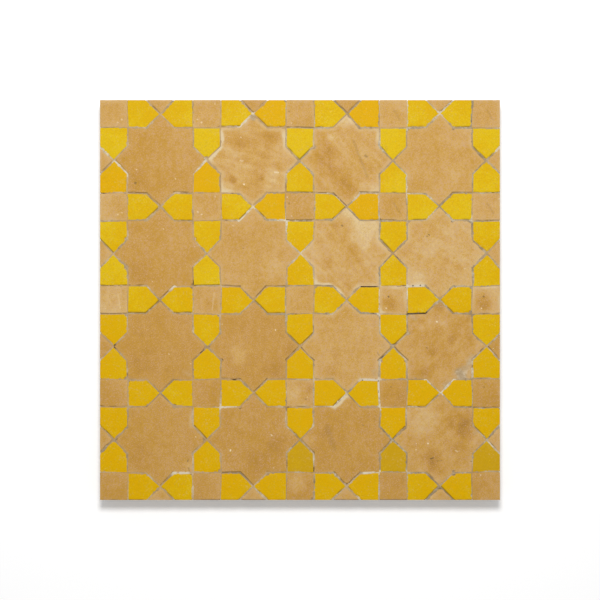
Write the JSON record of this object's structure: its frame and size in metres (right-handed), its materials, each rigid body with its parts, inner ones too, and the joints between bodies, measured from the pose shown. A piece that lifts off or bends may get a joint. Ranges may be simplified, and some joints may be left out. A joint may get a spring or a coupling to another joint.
{
  "type": "moroccan mosaic tile sheet",
  "caption": "Square sheet of hand-cut star and cross mosaic: plain clay stars and squares with yellow glazed arrow tiles between them, set in a mortar bed",
  "frame": {"origin": "the middle of the sheet's back, at the level that it lies on", "axes": "+Z out of the tiled face, +Y towards the top of the pattern, +X to its right"},
  "size_m": [0.3048, 0.3048, 0.02],
  "materials": {
    "natural_clay": "unglazed fired clay, matt, mottled honey and buff with pits and lime specks",
    "yellow_glaze": "worn ochre yellow glaze over clay, satin, with chipped edges",
    "mortar": "rough sandy grey-beige mortar"
  },
  "bodies": {
    "root": {"star_tile_r1_c1": "natural_clay", "star_tile_r1_c2": "natural_clay", "star_tile_r1_c3": "natural_clay", "star_tile_r1_c4": "natural_clay", "star_tile_r2_c1": "natural_clay", "star_tile_r2_c2": "natural_clay", "star_tile_r2_c3": "natural_clay", "star_tile_r2_c4": "natural_clay", "star_tile_r3_c1": "natural_clay", "star_tile_r3_c2": "natural_clay", "star_tile_r3_c3": "natural_clay", "star_tile_r3_c4": "natural_clay", "star_tile_r4_c1": "natural_clay", "star_tile_r4_c2": "natural_clay", "star_tile_r4_c3": "natural_clay", "star_tile_r4_c4": "natural_clay", "square_tile_r1_c1": "natural_clay", "square_tile_r1_c2": "natural_clay", "square_tile_r1_c3": "natural_clay", "square_tile_r1_c4": "natural_clay", "square_tile_r1_c5": "natural_clay", "square_tile_r2_c1": "natural_clay", "square_tile_r2_c2": "natural_clay", "square_tile_r2_c3": "natural_clay", "square_tile_r2_c4": "natural_clay", "square_tile_r2_c5": "natural_clay", "square_tile_r3_c1": "natural_clay", "square_tile_r3_c2": "natural_clay", "square_tile_r3_c3": "natural_clay", "square_tile_r3_c4": "natural_clay", "square_tile_r3_c5": "natural_clay", "square_tile_r4_c1": "natural_clay", "square_tile_r4_c2": "natural_clay", "square_tile_r4_c3": "natural_clay", "square_tile_r4_c4": "natural_clay", "square_tile_r4_c5": "natural_clay", "square_tile_r5_c1": "natural_clay", "square_tile_r5_c2": "natural_clay", "square_tile_r5_c3": "natural_clay", "square_tile_r5_c4": "natural_clay", "square_tile_r5_c5": "natural_clay", "triangle_tiles_left": "natural_clay", "triangle_tiles_right": "natural_clay", "triangle_tiles_top": "natural_clay", "triangle_tiles_bottom": "natural_clay", "arrow_tiles_row_1": "yellow_glaze", "arrow_tiles_row_2": "yellow_glaze", "arrow_tiles_row_3": "yellow_glaze", "arrow_tiles_row_4": "yellow_glaze", "arrow_tiles_row_5": "yellow_glaze", "arrow_tiles_column_1": "yellow_glaze", "arrow_tiles_column_2": "yellow_glaze", "arrow_tiles_column_3": "yellow_glaze", "arrow_tiles_column_4": "yellow_glaze", "arrow_tiles_column_5": "yellow_glaze", "mortar_bed": "mortar"}
  },
  "joints": []
}
